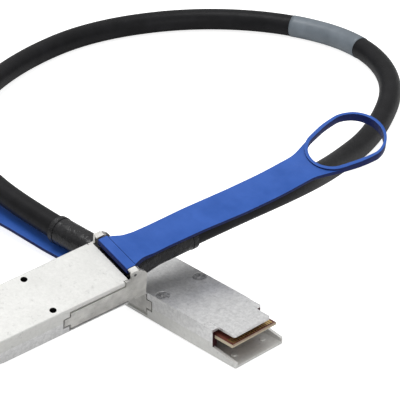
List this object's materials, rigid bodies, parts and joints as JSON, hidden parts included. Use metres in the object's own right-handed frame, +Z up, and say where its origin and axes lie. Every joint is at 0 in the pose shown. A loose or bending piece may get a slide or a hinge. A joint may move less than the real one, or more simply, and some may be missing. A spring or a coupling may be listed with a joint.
{
  "type": "direct attach copper cable",
  "caption": "Looped black twinax cable with a metal card-edge connector on each end; each has a sprung latch slider and a blue pull tab with a finger ring.",
  "frame": {"origin": "on the table at the middle of the box round the two connectors and their pull tabs", "axes": "+X along end B towards its card edge, +Y across the table to the looped side, +Z up"},
  "size_m": [0.1846, 0.2282, 0.0347],
  "materials": {
    "cast_shell": "bead-blasted die casting, satin nickel plate",
    "screw_steel": "plated countersunk screws",
    "card_laminate": "glass-epoxy circuit board with solder mask",
    "gold_plate": "gold-plated copper pads",
    "chip_body": "moulded epoxy package",
    "pair_shield": "foil-wrapped copper pairs",
    "ferrule_metal": "crimped tube",
    "boot_black": "moulded boot, fine matte grain",
    "latch_steel": "stamped stainless sheet",
    "spring_steel": "spring strip",
    "tab_blue": "soft moulded tab, satin royal blue",
    "jacket_black": "extruded jacket, matte with a faint weave grain",
    "label_pale": "plain wrapped label sleeve"
  },
  "bodies": {
    "root": {"end_a_top_shell": "cast_shell", "end_a_bottom_shell": "cast_shell", "end_a_shell_screws": "screw_steel", "end_a_paddle_card": "card_laminate", "end_a_card_contacts": "gold_plate", "end_a_memory_chip": "chip_body", "end_a_wire_pairs": "pair_shield", "end_a_crimp_ferrule": "ferrule_metal", "end_a_strain_relief": "boot_black", "end_a_return_springs": "spring_steel", "end_b_top_shell": "cast_shell", "end_b_bottom_shell": "cast_shell", "end_b_shell_screws": "screw_steel", "end_b_paddle_card": "card_laminate", "end_b_card_contacts": "gold_plate", "end_b_memory_chip": "chip_body", "end_b_wire_pairs": "pair_shield", "end_b_crimp_ferrule": "ferrule_metal", "end_b_strain_relief": "boot_black", "end_b_return_springs": "spring_steel", "cable_jacket": "jacket_black", "cable_label": "label_pale"},
    "slider_a": {"end_a_latch_slider": "latch_steel", "end_a_tab_pin": "latch_steel"},
    "tab_a": {"end_a_pull_tab": "tab_blue"},
    "slider_b": {"end_b_latch_slider": "latch_steel", "end_b_tab_pin": "latch_steel"},
    "tab_b": {"end_b_pull_tab": "tab_blue"}
  },
  "joints": [
    {"name": "latch_slide_a", "type": "slide", "parent": "root", "child": "slider_a", "axis": [0.1387, 0.987, 0.0809], "range_m": [0, 0.0022], "stiffness_N_per_m": 3000, "springref_m": -0.0005, "deforming": ["end_a_return_springs"]},
    {"name": "tab_hinge_a", "type": "hinge", "parent": "slider_a", "child": "tab_a", "pos_m": [0.03503, -0.01867, 0.02161], "axis": [0.9614, -0.1146, -0.2502], "range_deg": [0, 30]},
    {"name": "latch_slide_b", "type": "slide", "parent": "root", "child": "slider_b", "axis": [-0.9989, 0, 0.0468], "range_m": [0, 0.0022], "stiffness_N_per_m": 3000, "springref_m": -0.0005, "deforming": ["end_b_return_springs"]},
    {"name": "tab_hinge_b", "type": "hinge", "parent": "slider_b", "child": "tab_b", "pos_m": [0.01941, -0.00433, 0.00152], "axis": [0, -1, 0], "range_deg": [-0.5, 29]}
  ]
}
